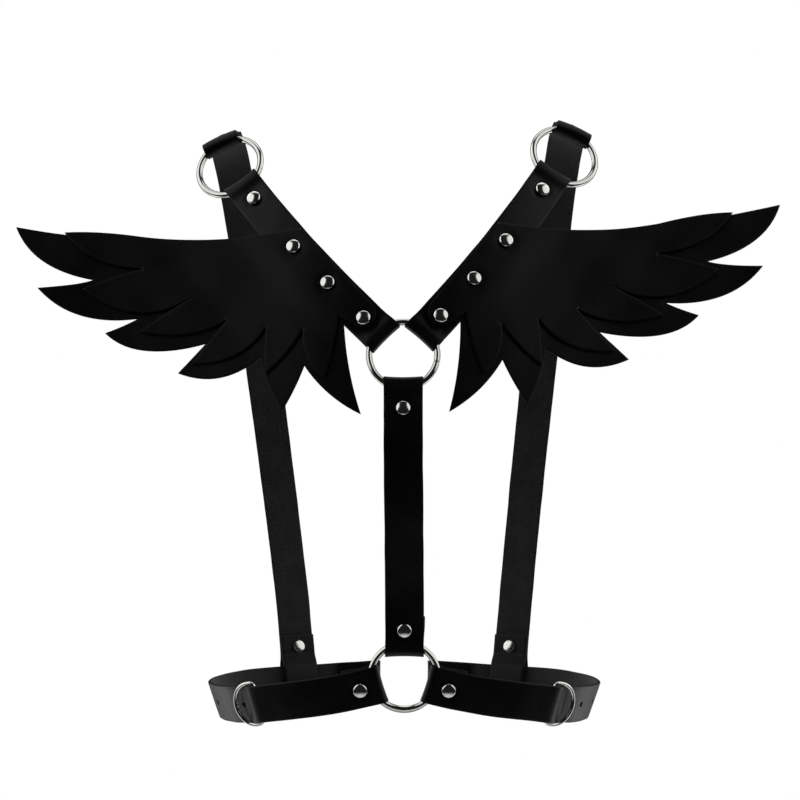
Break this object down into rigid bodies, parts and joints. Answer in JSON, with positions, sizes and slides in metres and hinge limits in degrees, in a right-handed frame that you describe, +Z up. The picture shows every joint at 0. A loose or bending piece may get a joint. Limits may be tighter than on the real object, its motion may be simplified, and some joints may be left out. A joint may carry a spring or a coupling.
{
  "type": "angel wing harness",
  "caption": "Black leather body harness with a pair of layered feather-cut wings on the back, joined by round metal rings, domed rivets and side D-rings.",
  "frame": {"origin": "midway between the undersides of the two shoulder straps, where the harness hangs on the wearer's shoulders", "axes": "+X to the right as seen from behind, across the wings; +Y to the wearer's front; +Z up"},
  "size_m": [0.4225, 0.1991, 0.3437],
  "materials": {
    "strap_leather": "smooth satin",
    "wing_leather": "smooth satin",
    "ring_metal": "polished",
    "rivet_metal": "polished"
  },
  "bodies": {
    "root": {"back_rivet_left": "rivet_metal", "back_rivet_right": "rivet_metal", "back_strap_left": "strap_leather", "back_strap_right": "strap_leather", "belt_rivet_left": "rivet_metal", "belt_rivet_right": "rivet_metal", "centre_ring": "ring_metal", "front_ring": "ring_metal", "front_rivet_left": "rivet_metal", "front_rivet_right": "rivet_metal", "shoulder_ring_left": "ring_metal", "shoulder_ring_right": "ring_metal", "shoulder_rivet_left": "rivet_metal", "shoulder_rivet_right": "rivet_metal", "shoulder_strap_left": "strap_leather", "shoulder_strap_right": "strap_leather", "side_d_ring_left": "ring_metal", "side_d_ring_right": "ring_metal", "spine_rivet_bottom": "rivet_metal", "spine_rivet_top": "rivet_metal", "spine_strap": "strap_leather", "waist_ring": "ring_metal", "waist_rivet_left": "rivet_metal", "waist_rivet_right": "rivet_metal", "waist_strap_left": "strap_leather", "waist_strap_right": "strap_leather", "wing_lower_left": "wing_leather", "wing_lower_right": "wing_leather", "wing_rivet_left_1": "rivet_metal", "wing_rivet_left_2": "rivet_metal", "wing_rivet_left_3": "rivet_metal", "wing_rivet_right_1": "rivet_metal", "wing_rivet_right_2": "rivet_metal", "wing_rivet_right_3": "rivet_metal", "wing_upper_left": "wing_leather", "wing_upper_right": "wing_leather"}
  },
  "joints": []
}
